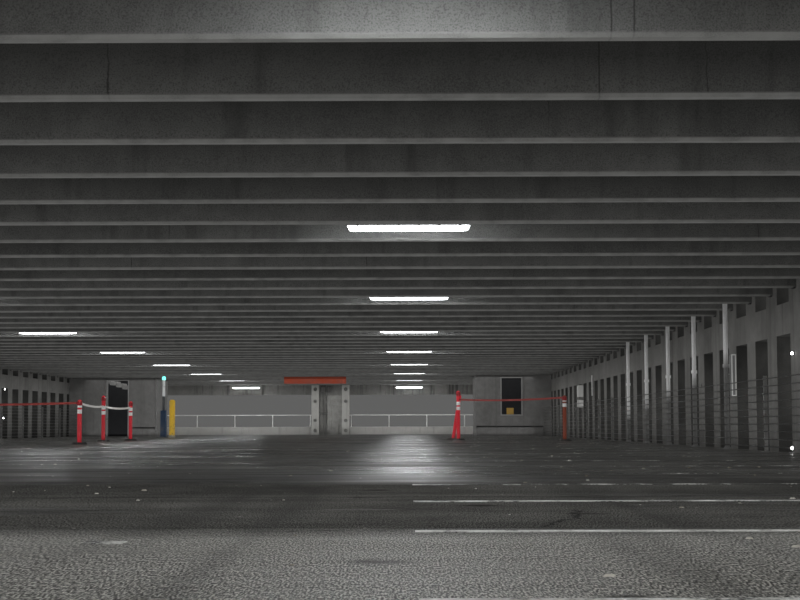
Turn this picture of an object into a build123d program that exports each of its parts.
from build123d import *
import math
import os

# Car park storey in precast concrete, a 1:10 scale model in millimetres.
# X runs across the building, Y along the drive aisle and Z up from the ground.
# The origin is at the middle of the footprint, at ground level.

# Driving sizes of the deck: double tees side by side along Y
tee_count = 30
tee_width = 304.8
tee_joint = 1.0
flange_thickness = 10.0
tee_depth = 76.2
stem_spacing = 152.4
stem_width_top = 20.0
stem_width_bottom = 12.0
stem_chamfer = 2.0
stem_bearing = 14.0

# Driving sizes of the storey
clear_width = 1940.0
floor_thickness = 20.0
clear_height = 236.0
parapet_height = 107.0
seat_gap = 0.3

# Side walls: panels with a pier under each stem and openings between the piers
wall_thickness = 25.0
tees_per_panel = 3
panels_per_node = 2
pier_width = 62.0
lower_opening_height = 172.0
upper_post_width = 72.0
upper_sill_height = 219.5
opening_draft = 1.2
pocket_depth = 16.0
pocket_clearance = 2.0

# End walls: piers, spandrels, kerbs and guard rails
end_wall_thickness = 20.0
centre_pier_x = 39.0
centre_pier_width = 182.0
centre_pier_depth = 25.0
pilaster_width = 36.0
pilaster_depth = 5.0
corner_pier_width = 60.0
spandrel_soffit_height = 190.0
kerb_height = 36.0
pier_pocket_radius = 9.0
pier_pocket_depth = 5.0
pier_pocket_heights = (19.0, 67.0, 159.0, 217.0)
pier_pocket_sides = 8
rail_height = 93.0
rail_radius = 2.5
rail_post_radius = 2.2
rail_post_inset = 7.0
rail_post_pitch = 182.0
rail_sides = 6
conduit_centre_x = 3.5
conduit_radius = 1.2
conduit_pitch = 16.0
conduit_count = 3
conduit_sides = 6
conduit_clip_level = 98.0
conduit_clip_height = 4.0
conduit_clip_cover = 0.6
conduit_box_places = (4.0, 34.0)
conduit_box_width = 18.0
conduit_box_height = 24.0
conduit_box_depth = 6.0
conduit_box_drop = 10.0

# Cable barriers along the side walls
barrier_offset = 28.0
strand_count = 10
strand_pitch = 11.0
strand_radius = 0.7
strand_sides = 4
barrier_post_size = 5.0
barrier_post_wall = 1.0
barrier_post_height = 112.0
full_post_radius = 4.0
full_post_collar_radius = 5.5
full_post_collar_level = 135.0
full_post_collar_height = 6.0
full_post_sides = 8
full_post_joints = (-2, -1, 0, 1, 2)

# Rear enclosures beside the two side walls, each one tee long
right_enclosure_joint = 10
left_enclosure_joint = 11
enclosure_wall = 20.0
right_enclosure_width = 294.0
left_enclosure_width = 357.0
window_offset = 115.0
window_width = 80.0
window_sill_height = 82.0
window_height = 144.0
doorway_offset = 155.0
doorway_width = 86.0
doorway_height = 228.0
plinth_height = 39.0
plinth_depth = 4.0

# Lamps under every third tee, in two rows, and a lower one under the last tee
lamp_rows = (417.0, -354.0)
tees_per_lamp = 3
end_lamp_drop = 20.0
lamp_length = 125.0
lamp_width = 9.0
lamp_tray_height = 3.0
lamp_rise = 7.2
lamp_lens_height = 7.0
lamp_end_chamfer = 2.0
hanger_size = 1.4
hanger_spacing = 86.0

# Fittings
board_length = 245.0
board_height = 27.5
board_thickness = 2.0
board_centre = 45.0
board_bottom_height = 207.2
board_joint = 10
board_past_joint = 99.0
board_corner = 3.0
bollard_radius = 10.5
bollard_height = 137.0
bollard_cap_height = 4.0
bollard_foot_rim = 2.5
bollard_foot_height = 6.0
bollard_sides = 16
bollard_place = (-447.0, 2647.0)
pillar_x = -529.0
pillar_setback = 61.0
pillar_width = 22.0
pillar_casing_height = 102.0
pillar_mast_width = 10.0
pillar_corner = 2.0
pillar_height = 219.0
pillar_lamp_radius = 7.0
pillar_lamp_height = 14.0
pillar_lamp_cap = 3.0
pillar_lamp_sides = 12
lane_post_radius = 5.0
lane_post_cap = 2.5
lane_post_sides = 12
lane_base_radius = 19.0
lane_base_height = 5.0
# Place and height of each lane post
lane_posts_left = ((-330.0, 382.0, 101.0), (-396.0, 1027.0, 122.0), (-378.0, 1347.0, 112.0))
lane_posts_right = ((552.0, 1187.0, 136.0), (815.0, 877.0, 117.0))
leaning_post = (542.0, 1347.0, 127.0)
leaning_reach = 19.0
belt_height = 5.0
belt_thickness = 0.8
belt_drop = 4.0
belt_top_left = 96.0
belt_top_right = 114.0

# Tee, side of the tee, width, depth and height over the floor of each wall cabinet
cabinets = ((-2, -1, 12.0, 8.0, 89.0), (6, -1, 40.0, 15.0, 97.0))
cabinet_tall = 70.0
cabinet_pier_margin = 2.0
cabinet_door_margin = 2.0
cabinet_door_depth = 1.2

# Levels and faces worked out from the driving sizes
field_half = tee_count * tee_width / 2
half_width = clear_width / 2
floor_top = floor_thickness
stem_bottom = floor_top + clear_height
deck_top = stem_bottom + tee_depth
flange_bottom = deck_top - flange_thickness
wall_top = deck_top + parapet_height
outer_end = field_half + end_wall_thickness
spandrel_bottom = floor_top + spandrel_soffit_height
lamp_level = stem_bottom + lamp_rise
panel_length = tees_per_panel * tee_width
panel_count = tee_count // tees_per_panel
barrier_x = half_width - barrier_offset
right_enclosure_front = right_enclosure_joint * tee_width
left_enclosure_front = left_enclosure_joint * tee_width

os.makedirs("parts", exist_ok=True)


def block(x0, x1, y0, y1, z0, z1):
    """A box between two corners."""
    middle = Pos((x0 + x1) / 2, (y0 + y1) / 2, (z0 + z1) / 2)
    return middle * Box(x1 - x0, y1 - y0, z1 - z0)


def upright(x, y, radius, sides, z0, z1):
    """A slim bar standing on z0, its round section drawn with a few flat sides."""
    return extrude(Pos(x, y, z0) * RegularPolygon(radius, sides), amount=z1 - z0)


def capped_bar(x, y, radius, sides, z0, z1, cap, reach=0.0):
    """A bar whose top edge slopes in by the height of its cap, its top set over by reach."""
    rise = z1 - cap - z0
    length = math.hypot(rise, reach)
    foot = Pos(x, y, z0) * RegularPolygon(radius, sides)
    body = extrude(foot, amount=length, dir=(reach / length, 0, rise / length))
    head = Pos(x + reach, y, z1 - cap) * RegularPolygon(radius, sides)
    return body + extrude(head, amount=cap, taper=45)


def cut_corners(length, width, corner):
    """Rectangle with its four corners cut at 45 degrees."""
    half_length = length / 2
    half_width_here = width / 2
    quarter = [(half_length, half_width_here - corner), (half_length - corner, half_width_here)]
    points = quarter + [(-x, y) for x, y in reversed(quarter)]
    points += [(-x, -y) for x, y in points]
    return make_face(Polyline(*points, close=True))


def save(name, solids):
    """Write one node, as one solid or as several that do not touch."""
    shape = solids[0] if len(solids) == 1 else Compound(children=list(solids))
    export_step(shape, "parts/" + name + ".step")


def stem_profile(centre):
    """Tapered stem section with chamfered lower edges."""
    top = stem_width_top / 2
    low = stem_width_bottom / 2
    right_side = [
        (top, flange_bottom),
        (low, stem_bottom + stem_chamfer),
        (low - stem_chamfer, stem_bottom),
    ]
    left_side = [(-y, z) for y, z in reversed(right_side)]
    points = [(centre + y, z) for y, z in right_side + left_side]
    return make_face(Plane.YZ * Polyline(*points, close=True))


def double_tee():
    """One tee across the building, its two stems longer than the flange to reach the pockets."""
    edge = tee_width / 2 - tee_joint / 2
    side = half_width - tee_joint
    tee = block(-side, side, -edge, edge, flange_bottom, deck_top)
    reach = half_width + stem_bearing
    for centre in (-stem_spacing / 2, stem_spacing / 2):
        tee += extrude(stem_profile(centre), amount=reach, both=True, dir=(1, 0, 0))
    return tee


def deck_tees(first, count):
    tee = double_tee()
    start = -field_half + tee_width / 2
    return [Pos(0, start + index * tee_width, 0) * tee for index in range(first, first + count)]


def wall_opening(centre, width, z0, z1):
    """Opening through the wall, a little wider on the aisle face as its mould needs."""
    outer = (half_width + wall_thickness, centre, (z0 + z1) / 2)
    outer_face = Plane(outer, x_dir=(0, 1, 0), z_dir=(-1, 0, 0))
    return extrude(outer_face * Rectangle(width, z1 - z0), amount=wall_thickness, taper=-opening_draft)


def opening_pair(centre, stem_gap):
    """Tall lower opening and square upper opening between two neighbouring stems."""
    lower = wall_opening(centre, stem_gap - pier_width, floor_top, floor_top + lower_opening_height)
    upper = wall_opening(centre, stem_gap - upper_post_width, floor_top + upper_sill_height, flange_bottom)
    return [lower, upper]


def wall_panel(first_end, last_end):
    """Right wall panel centred on Y = 0, with closed ends where the building ends."""
    inner_end = panel_length / 2 - tee_joint / 2
    building_end = panel_length / 2 + end_wall_thickness
    low_end = building_end if first_end else inner_end
    high_end = building_end if last_end else inner_end
    outer = half_width + wall_thickness
    panel = block(half_width, outer, -low_end, high_end, 0, wall_top)
    cuts = []
    for joint in range(tees_per_panel + 1):
        closed = (joint == 0 and first_end) or (joint == tees_per_panel and last_end)
        if not closed:
            cuts += opening_pair(-panel_length / 2 + joint * tee_width, tee_width - stem_spacing)
    pocket_half = stem_width_top / 2 + pocket_clearance
    for tee in range(tees_per_panel):
        tee_centre = -panel_length / 2 + (tee + 0.5) * tee_width
        cuts += opening_pair(tee_centre, stem_spacing)
        for centre in (tee_centre - stem_spacing / 2, tee_centre + stem_spacing / 2):
            cuts.append(block(half_width, half_width + pocket_depth, centre - pocket_half,
                              centre + pocket_half, stem_bottom, flange_bottom + pocket_clearance))
    return panel - cuts


def side_wall(side):
    """All panels of one side wall, from the front to the back of the building."""
    inner_panel = wall_panel(False, False)
    near_panel = wall_panel(True, False)
    far_panel = wall_panel(False, True)
    panels = []
    for index in range(panel_count):
        panel = inner_panel
        if index == 0:
            panel = near_panel if side > 0 else Rot(0, 0, 180) * far_panel
        elif index == panel_count - 1:
            panel = far_panel if side > 0 else Rot(0, 0, 180) * near_panel
        elif side < 0:
            panel = Rot(0, 0, 180) * inner_panel
        centre = -field_half + (index + 0.5) * panel_length
        panels.append(Pos(0, centre, 0) * panel)
    return panels


def centre_pier():
    """Wide back pier with two raised pilasters that have round bolt pockets."""
    half = centre_pier_width / 2
    low = centre_pier_x - half
    high = centre_pier_x + half
    face = field_half - centre_pier_depth
    pier = block(low, high, field_half, outer_end, 0, spandrel_bottom)
    pier += block(low, high, face, field_half, floor_top, stem_bottom)
    for side in (-1, 1):
        middle = centre_pier_x + side * (half - pilaster_width / 2)
        reach = pilaster_width / 2
        pier += block(middle - reach, middle + reach, face - pilaster_depth, face, floor_top, stem_bottom)
        for height in pier_pocket_heights:
            mouth = Plane(origin=(middle, face - pilaster_depth, floor_top + height), z_dir=(0, 1, 0))
            outline = mouth * RegularPolygon(pier_pocket_radius, pier_pocket_sides)
            pier -= extrude(outline, amount=pier_pocket_depth)
    return pier


def corner_pier(side):
    outer = side * (half_width - seat_gap)
    inner = side * (half_width - corner_pier_width)
    return block(min(outer, inner), max(outer, inner), field_half, outer_end, 0, spandrel_bottom)


def end_piers():
    return [centre_pier(), corner_pier(1), corner_pier(-1)]


def end_spandrels():
    """Two deep beams that meet over the centre pier and rise as the roof parapet."""
    half_joint = tee_joint / 2
    outer = half_width - seat_gap
    right = block(centre_pier_x + half_joint, outer, field_half, outer_end, spandrel_bottom, wall_top)
    left = block(-outer, centre_pier_x - half_joint, field_half, outer_end, spandrel_bottom, wall_top)
    return [right, left]


def end_bay(side):
    """Both ends in X of the open bay between the centre pier and a corner pier, the inner one first."""
    inner = centre_pier_x + side * (centre_pier_width / 2 + seat_gap)
    outer = side * (half_width - corner_pier_width - seat_gap)
    return inner, outer


def end_kerb(side):
    left, right = sorted(end_bay(side))
    return block(left, right, field_half, outer_end, 0, floor_top + kerb_height)


def guard_rail(side):
    """Round top rail on welded posts that stand on the kerb, set out from the centre pier."""
    inner, outer = end_bay(side)
    middle_y = (field_half + outer_end) / 2
    level = floor_top + rail_height
    length = abs(outer - inner)
    start = Plane(origin=(min(inner, outer), middle_y, level), x_dir=(0, 1, 0), z_dir=(1, 0, 0))
    rail = extrude(start * RegularPolygon(rail_radius, rail_sides), amount=length)
    count = int((length - 2 * rail_post_inset) // rail_post_pitch) + 1
    for index in range(count):
        x = inner + side * (rail_post_inset + index * rail_post_pitch)
        rail += upright(x, middle_y, rail_post_radius, rail_sides, floor_top + kerb_height, level)
    return rail


def at_front(shape):
    """The same piece at the other end of the building."""
    return mirror(shape, about=Plane.XZ)


def pier_conduits():
    """Thin pipes clipped to the face of the back pier, and two boxes near its top."""
    face = field_half - centre_pier_depth
    clip_z = floor_top + conduit_clip_level
    clip_face = face - 2 * conduit_radius - conduit_clip_cover
    reach = conduit_pitch * (conduit_count - 1) / 2
    first = conduit_centre_x - reach
    last = conduit_centre_x + reach
    pieces = block(first - conduit_pitch / 2, last + conduit_pitch / 2, clip_face, face,
                   clip_z, clip_z + conduit_clip_height)
    for index in range(conduit_count):
        x = first + index * conduit_pitch
        pieces += upright(x, face - conduit_radius, conduit_radius, conduit_sides, floor_top, stem_bottom)
    box_top = stem_bottom - conduit_box_drop
    half_box = conduit_box_width / 2
    for x in conduit_box_places:
        pieces += block(x - half_box, x + half_box, face - conduit_box_depth, face,
                        box_top - conduit_box_height, box_top)
    return pieces


def enclosure_joint(side):
    return right_enclosure_joint if side > 0 else left_enclosure_joint


def barrier_runs(side):
    """Stretches of Y where a barrier stands: before and behind the rear enclosure."""
    front = enclosure_joint(side) * tee_width
    return [(-field_half, front), (front + tee_width, field_half)]


def barrier_cables(side):
    """Ten taut strands, anchored in the walls at both ends of each stretch."""
    x = side * (barrier_x - barrier_post_size / 2 - strand_radius)
    strands = []
    for y0, y1 in barrier_runs(side):
        start = y0 + seat_gap
        length = y1 - y0 - 2 * seat_gap
        for index in range(strand_count):
            z = floor_top + (index + 1) * strand_pitch - strand_pitch / 4
            plane = Plane(origin=(x, start, z), x_dir=(1, 0, 0), z_dir=(0, 1, 0))
            strands.append(extrude(plane * RegularPolygon(strand_radius, strand_sides), amount=length))
    return strands


def angle_post(x, y, side):
    """Steel angle on the floor, its flat leg facing the aisle."""
    half = barrier_post_size / 2
    inner = x - side * half
    leg = inner + side * barrier_post_wall
    far = x + side * half
    top = floor_top + barrier_post_height
    front_leg = block(min(inner, leg), max(inner, leg), y - half, y + half, floor_top, top)
    back_leg = block(min(inner, far), max(inner, far), y - half, y - half + barrier_post_wall, floor_top, top)
    return front_leg + back_leg


def barrier_posts(side):
    """One post at each tee joint, apart from the joints that have a full-height post."""
    posts = []
    half_count = tee_count // 2
    for joint in range(-half_count + 1, half_count):
        if joint - enclosure_joint(side) in (0, 1):
            continue
        if side > 0 and joint in full_post_joints:
            continue
        posts.append(angle_post(side * barrier_x, joint * tee_width, side))
    return posts


def full_height_posts():
    """Round posts from the floor to the deck, with a collar above the middle."""
    posts = []
    x = barrier_x - barrier_post_size / 2 + full_post_radius
    low = floor_top + full_post_collar_level
    high = low + full_post_collar_height
    for joint in full_post_joints:
        y = joint * tee_width
        post = upright(x, y, full_post_radius, full_post_sides, floor_top, flange_bottom)
        posts.append(post + upright(x, y, full_post_collar_radius, full_post_sides, low, high))
    return posts


def enclosure(x_inner, x_outer, front):
    """Three walls round a corner room, closed on the fourth side by the building's wall."""
    low, high = sorted((x_inner, x_outer))
    back = front + tee_width
    room = block(low, high, front, back, floor_top, stem_bottom)
    inner_low = low + enclosure_wall if x_inner < x_outer else low
    inner_high = high if x_inner < x_outer else high - enclosure_wall
    return room - block(inner_low, inner_high, front + enclosure_wall, back - enclosure_wall,
                        floor_top, stem_bottom)


def right_enclosure():
    """Corner room with a window to the aisle and a low plinth."""
    outer = half_width - seat_gap
    inner = half_width - right_enclosure_width
    front = right_enclosure_front
    walls = enclosure(inner, outer, front)
    plinth_end = barrier_x - barrier_post_size
    walls += block(inner, plinth_end, front - plinth_depth, front, floor_top, floor_top + plinth_height)
    right_edge = outer - window_offset
    sill = floor_top + window_sill_height
    window = block(right_edge - window_width, right_edge, front, front + enclosure_wall, sill,
                   sill + window_height)
    return walls - window


def left_enclosure():
    """Corner room with an open doorway to the aisle."""
    outer = -half_width + seat_gap
    inner = -half_width + left_enclosure_width
    front = left_enclosure_front
    walls = enclosure(inner, outer, front)
    left_edge = outer + doorway_offset
    doorway = block(left_edge, left_edge + doorway_width, front, front + enclosure_wall, floor_top,
                    floor_top + doorway_height)
    return walls - doorway


def lamp_places():
    """Place of each lamp and the level of its tray's underside."""
    start = -field_half + tee_width / 2
    steps = range(0, tee_count, tees_per_lamp)
    places = [(x, start + index * tee_width, lamp_level) for x in lamp_rows for index in steps]
    last = start + (tee_count - 1) * tee_width
    return places + [(x, last, lamp_level - end_lamp_drop) for x in lamp_rows]


def lamp_tray():
    """Upper tray of a linear lamp, hung a little above the stems' lower edges."""
    outline = cut_corners(lamp_length, lamp_width, lamp_end_chamfer)
    return extrude(outline, amount=lamp_tray_height, taper=12)


def lamp_lens():
    """Narrowing diffuser under the tray."""
    outline = cut_corners(lamp_length, lamp_width, lamp_end_chamfer)
    return extrude(outline, amount=-lamp_lens_height, taper=10)


def lamp_set(shape):
    return [Pos(place) * shape for place in lamp_places()]


def hanger(x, y, bottom):
    half = hanger_size / 2
    return block(x - half, x + half, y - half, y + half, bottom, flange_bottom)


def hanger_rods():
    """Square rods from the flange down to the lamps and to the board."""
    rods = []
    for x, y, level in lamp_places():
        lamp_top = level + lamp_tray_height
        rods.append(hanger(x - hanger_spacing / 2, y, lamp_top))
        rods.append(hanger(x + hanger_spacing / 2, y, lamp_top))
    board_top = floor_top + board_bottom_height + board_height
    board_y = board_joint * tee_width + board_past_joint
    for x in (board_centre - board_length / 3, board_centre + board_length / 3):
        rods.append(hanger(x, board_y, board_top))
    return rods


def clearance_board():
    """Bare hanging board across the aisle, with its corners cut."""
    y = board_joint * tee_width + board_past_joint
    z = floor_top + board_bottom_height + board_height / 2
    plane = Plane(origin=(board_centre, y, z), x_dir=(1, 0, 0), z_dir=(0, -1, 0))
    face = plane * cut_corners(board_length, board_height, board_corner)
    return extrude(face, amount=board_thickness / 2, both=True)


def bollard():
    """Pipe bollard with a sloped cap and a low foot ring at the floor."""
    x, y = bollard_place
    top = floor_top + bollard_height
    foot = floor_top + bollard_foot_height
    body = capped_bar(x, y, bollard_radius, bollard_sides, floor_top, top, bollard_cap_height)
    return body + upright(x, y, bollard_radius + bollard_foot_rim, bollard_sides, floor_top, foot)


def call_pillar():
    """Square pillar in front of the left corner room, narrower above its lower casing."""
    foot = Pos(pillar_x, right_enclosure_front - pillar_setback, floor_top)
    casing = foot * cut_corners(pillar_width, pillar_width, pillar_corner)
    mast = foot * cut_corners(pillar_mast_width, pillar_mast_width, pillar_corner)
    return extrude(casing, amount=pillar_casing_height) + extrude(mast, amount=pillar_height)


def pillar_lamp():
    base = floor_top + pillar_height
    return capped_bar(pillar_x, right_enclosure_front - pillar_setback, pillar_lamp_radius,
                      pillar_lamp_sides, base, base + pillar_lamp_height, pillar_lamp_cap)


def upright_posts():
    return lane_posts_left + lane_posts_right


def lane_post(place, reach=0.0):
    """Slim tube with a sloped head that stands in a heavy base."""
    x, y, height = place
    base = floor_top + lane_base_height
    top = floor_top + height
    return capped_bar(x, y, lane_post_radius, lane_post_sides, base, top, lane_post_cap, reach)


def lane_base(place):
    lower = Pos(place[0], place[1], floor_top) * RegularPolygon(lane_base_radius, 8)
    return extrude(lower, amount=lane_base_height, taper=35)


def belt(start, end, top_height):
    """Strap between two posts with a slight sag, cut to end at their surfaces."""
    dx = end[0] - start[0]
    dy = end[1] - start[1]
    length = math.hypot(dx, dy)
    turn = math.degrees(math.atan2(dy, dx))
    near = lane_post_radius + seat_gap
    far = length - near
    top = floor_top + top_height
    upper = ThreePointArc((near, 0, top), (length / 2, 0, top - belt_drop), (far, 0, top))
    lower = ThreePointArc((far, 0, top - belt_height), (length / 2, 0, top - belt_height - belt_drop),
                          (near, 0, top - belt_height))
    right_end = Line((far, 0, top), (far, 0, top - belt_height))
    left_end = Line((near, 0, top - belt_height), (near, 0, top))
    side_face = make_face([upper, right_end, lower, left_end])
    strap = extrude(side_face, amount=belt_thickness / 2, both=True, dir=(0, 1, 0))
    return Pos(start[0], start[1], 0) * Rot(0, 0, turn) * strap


def lane_belts():
    """Belts between neighbouring posts, and one from the first post to the left barrier."""
    first, second, third = lane_posts_left
    wall_end = (-barrier_x + barrier_post_size / 2 + 2 * strand_radius - lane_post_radius, first[1])
    left_pairs = ((wall_end, first), (first, second), (second, third))
    belts = [belt(start, end, belt_top_left) for start, end in left_pairs]
    return belts + [belt(*lane_posts_right, belt_top_right)]


def wall_cabinets():
    """Closed cabinets at the near edge of two piers of the right wall, with a raised door each."""
    made = []
    outer = half_width - seat_gap
    for tee, side, width, depth, height in cabinets:
        low = floor_top + height
        high = low + cabinet_tall
        pier_centre = (tee + 0.5) * tee_width + side * stem_spacing / 2
        near = pier_centre - pier_width / 2 + cabinet_pier_margin
        far = near + width
        face = outer - depth
        case = block(face, outer, near, far, low, high)
        door = block(face - cabinet_door_depth, face, near + cabinet_door_margin, far - cabinet_door_margin,
                     low + cabinet_door_margin, high - cabinet_door_margin)
        made.append(case + door)
    return made


slab_edge = half_width - seat_gap
save("floor_slab", [block(-slab_edge, slab_edge, -field_half, field_half, 0, floor_top)])

tees_per_node = tees_per_panel * panels_per_node
node_count = tee_count // tees_per_node
right_panels = side_wall(1)
left_panels = side_wall(-1)
for node in range(node_count):
    save(f"deck_tees_{node + 1}", deck_tees(node * tees_per_node, tees_per_node))
    first_panel = node * panels_per_node
    last_panel = first_panel + panels_per_node
    save(f"right_wall_panels_{node + 1}", right_panels[first_panel:last_panel])
    save(f"left_wall_panels_{node + 1}", left_panels[first_panel:last_panel])

save("back_piers", end_piers())
save("back_spandrels", end_spandrels())
save("back_kerbs", [end_kerb(1), end_kerb(-1)])
save("back_guard_rails", [guard_rail(1), guard_rail(-1)])
save("back_pier_conduits", [pier_conduits()])
save("front_piers", [at_front(piece) for piece in end_piers()])
save("front_spandrels", [at_front(piece) for piece in end_spandrels()])
save("front_kerb", [at_front(end_kerb(-1))])
save("front_guard_rail", [at_front(guard_rail(-1))])
threshold_start, threshold_end = end_bay(1)
save("entrance_threshold", [block(threshold_start, threshold_end, -outer_end, -field_half, 0, floor_top)])

save("right_rear_enclosure", [right_enclosure()])
save("left_rear_enclosure", [left_enclosure()])
save("right_barrier_posts", barrier_posts(1))
save("right_barrier_cables", barrier_cables(1))
save("left_barrier_posts", barrier_posts(-1))
save("left_barrier_cables", barrier_cables(-1))
save("full_height_posts", full_height_posts())
save("wall_cabinets", wall_cabinets())

save("lamp_trays", lamp_set(lamp_tray()))
save("lamp_lenses", lamp_set(lamp_lens()))
save("hanger_rods", hanger_rods())
save("clearance_board", [clearance_board()])
save("bollard", [bollard()])
save("call_pillar", [call_pillar()])
save("pillar_lamp", [pillar_lamp()])
standing = [lane_post(place) for place in upright_posts()]
save("lane_posts", standing + [lane_post(leaning_post, leaning_reach)])
save("lane_post_bases", [lane_base(place) for place in upright_posts() + (leaning_post,)])
save("lane_belts", lane_belts())
